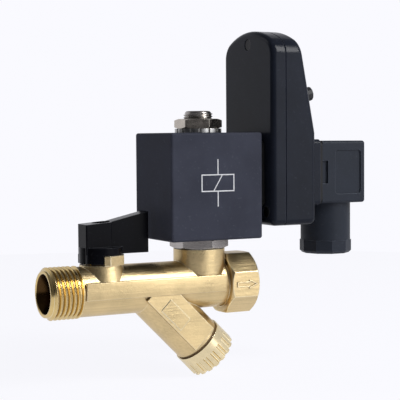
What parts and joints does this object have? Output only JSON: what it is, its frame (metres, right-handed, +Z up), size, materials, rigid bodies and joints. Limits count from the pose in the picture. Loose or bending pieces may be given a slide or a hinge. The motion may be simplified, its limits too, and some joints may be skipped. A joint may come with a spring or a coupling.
{
  "type": "automatic drain valve",
  "caption": "Timer-controlled solenoid drain valve with a brass Y-strainer body, quarter-turn ball shut-off, coil, timer case and plug.",
  "frame": {"origin": "centre of the inlet's end face, on the pipe's axis", "axes": "+X along the pipe with the flow, +Z up the solenoid, -Y the flank that carries the flow arrow"},
  "size_m": [0.1453, 0.0406, 0.1425],
  "materials": {
    "forged_brass": "satin forged brass with a fine grain",
    "machined_brass": "turned brass, brighter than the forging",
    "chromed_brass": "polished chrome plating",
    "white_seat": "smooth white sealing plastic",
    "stainless_steel": "turned stainless steel",
    "plated_steel": "bright zinc plating",
    "nickel_steel": "warm nickel plating",
    "contact_metal": "tinned brass",
    "copper": "enamelled copper",
    "black_rubber": "dull black rubber",
    "coil_resin": "dark blue-grey matt resin",
    "timer_plastic": "satin black moulding with soft highlights",
    "plug_plastic": "slightly bluish dark grey moulding",
    "lever_plastic": "smooth black moulding",
    "knob_plastic": "matt dark grey plastic",
    "white_plastic": "plain white plastic",
    "component_blue": "blue component cases",
    "circuit_board": "green circuit board",
    "red_lens": "clear red lens",
    "red_button": "red push button"
  },
  "bodies": {
    "valve": {"valve_body": "forged_brass", "inlet_nipple": "machined_brass", "inlet_ball_seat": "white_seat", "outlet_ball_seat": "white_seat", "stem_washer": "white_seat", "stem_packing": "white_seat", "packing_nut": "machined_brass", "core_tube": "stainless_steel", "tube_o_ring": "black_rubber", "fixed_core": "stainless_steel", "shading_ring": "copper", "plunger_spring": "stainless_steel", "coil_housing": "coil_resin", "coil_yoke": "plated_steel", "coil_bobbin": "white_plastic", "coil_winding": "copper", "lock_washer": "plated_steel", "coil_nut": "nickel_steel", "coil_terminals": "contact_metal", "coil_gasket": "black_rubber", "timer_rear_shell": "timer_plastic", "timer_front_shell": "timer_plastic", "case_screws": "plated_steel", "timer_circuit_board": "circuit_board", "board_screws": "plated_steel", "board_components": "component_blue", "led_lenses": "red_lens", "terminal_carrier": "timer_plastic", "timer_sockets": "contact_metal", "timer_blades": "contact_metal", "plug_gasket": "black_rubber", "plug_housing": "plug_plastic", "plug_insert": "plug_plastic", "plug_contacts": "contact_metal", "fixing_screw": "plated_steel", "gland_grommet": "black_rubber", "gland_washer": "plated_steel", "gland_nut": "plug_plastic"},
    "lever": {"lever": "lever_plastic", "lever_washer": "plated_steel", "lever_screw": "plated_steel", "valve_stem": "machined_brass", "ball": "chromed_brass"},
    "plunger": {"plunger": "stainless_steel", "plunger_seal": "black_rubber"},
    "cap_gasket": {"cap_gasket": "black_rubber"},
    "strainer_cap": {"strainer_cap": "machined_brass", "strainer_screen": "stainless_steel"},
    "on_time_knob": {"on_time_knob": "knob_plastic"},
    "off_time_knob": {"off_time_knob": "knob_plastic"},
    "test_button": {"test_button": "red_button"}
  },
  "joints": [
    {"name": "lever_turn", "type": "hinge", "parent": "valve", "child": "lever", "pos_m": [0.0246, 0, 0], "axis": [0, 0, -1], "range_deg": [0, 90]},
    {"name": "plunger_lift", "type": "slide", "parent": "valve", "child": "plunger", "axis": [0, 0, 1], "range_m": [0, 0.002], "stiffness_N_per_m": 150, "springref_m": -0.004, "deforming": ["plunger_spring"]},
    {"name": "gasket_slide", "type": "slide", "parent": "valve", "child": "cap_gasket", "axis": [0.7071, 0, -0.7071], "range_m": [0, 0.0073]},
    {"name": "cap_unscrew", "type": "hinge", "parent": "cap_gasket", "child": "strainer_cap", "pos_m": [0.044, 0, 0], "axis": [0.7071, 0, -0.7071], "range_deg": [0, 2629]},
    {"name": "on_time_turn", "type": "hinge", "parent": "valve", "child": "on_time_knob", "pos_m": [0.11043, -0.011, 0.07753], "axis": [0.9827, 0, 0.185], "range_deg": [-150, 150]},
    {"name": "off_time_turn", "type": "hinge", "parent": "valve", "child": "off_time_knob", "pos_m": [0.11043, 0.011, 0.07753], "axis": [0.9827, 0, 0.185], "range_deg": [-150, 150]},
    {"name": "test_press", "type": "slide", "parent": "valve", "child": "test_button", "axis": [-0.9827, 0, -0.185], "range_m": [0, 0.0012], "stiffness_N_per_m": 300, "springref_m": -0.001}
  ],
  "couplings": [
    {"joint": "cap_unscrew", "follows": "gasket_slide", "rad_per_m": 6283.2}
  ]
}
